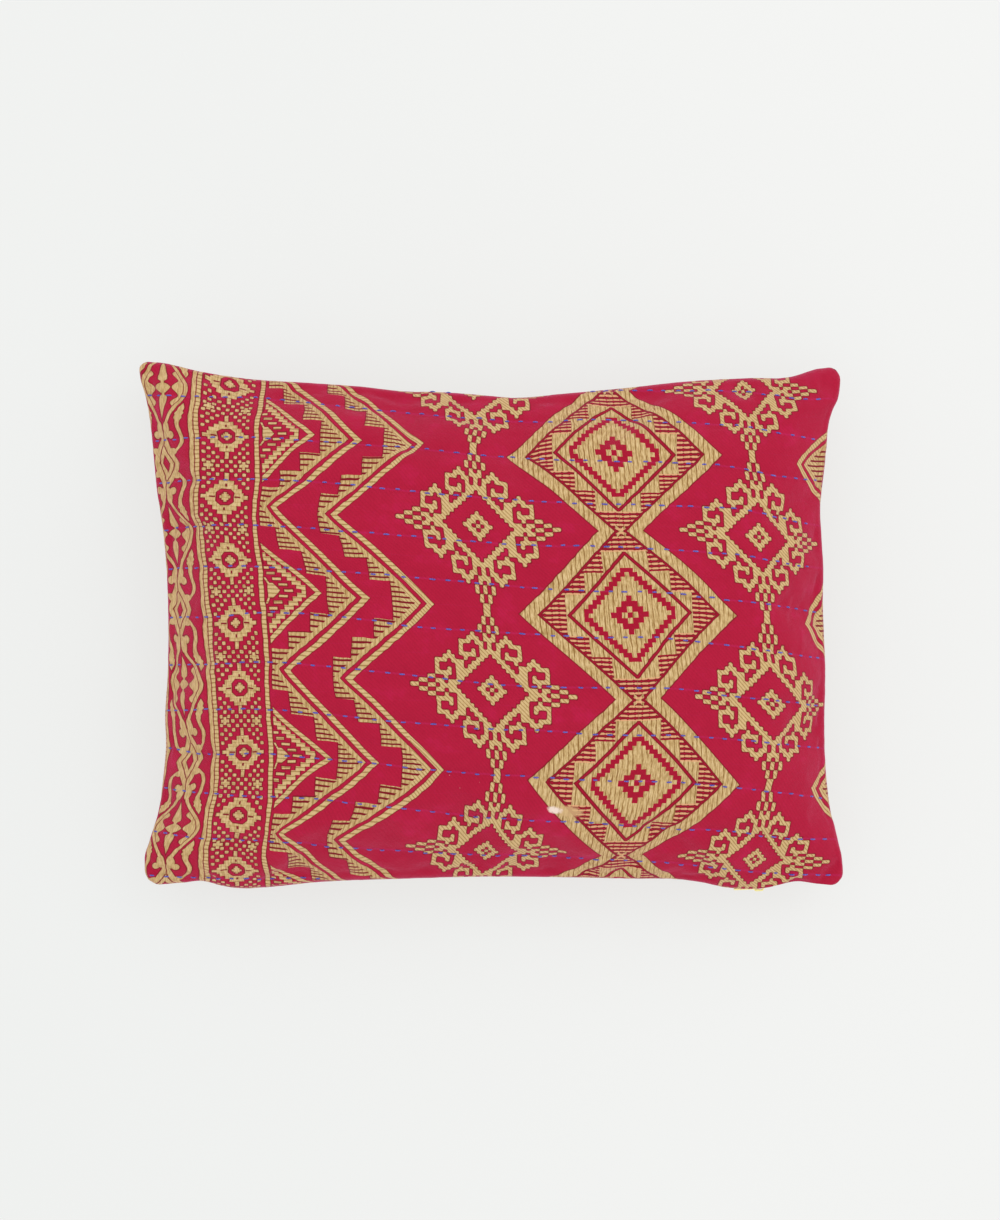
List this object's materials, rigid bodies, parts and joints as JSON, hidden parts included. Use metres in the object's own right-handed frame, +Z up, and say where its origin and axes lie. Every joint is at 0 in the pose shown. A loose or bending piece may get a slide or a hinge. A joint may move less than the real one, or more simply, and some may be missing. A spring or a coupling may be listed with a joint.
{
  "type": "throw pillow",
  "caption": "Filled oblong throw pillow with a kantha-stitched printed cover, eared corners, a low crown and a closed zip along its lower seam.",
  "frame": {"origin": "on the floor under the middle of the whole pillow", "axes": "+X along the long sides, towards the corner that the zip's slider is near; +Y from the zipped long side to the other; +Z up, out of the front panel"},
  "size_m": [0.407, 0.3067, 0.0939],
  "materials": {
    "kantha_cloth": "printed cotton in crimson and gold, matt, quilted with running stitch",
    "zip_tape": "woven crimson tape with coil teeth",
    "zip_metal": "pale polished brass",
    "quilting_thread": "blue-violet cotton thread"
  },
  "bodies": {
    "root": {"cushion": "kantha_cloth", "zip_chain": "zip_tape", "zip_slider": "zip_metal", "zip_pull": "zip_metal"}
  },
  "joints": []
}
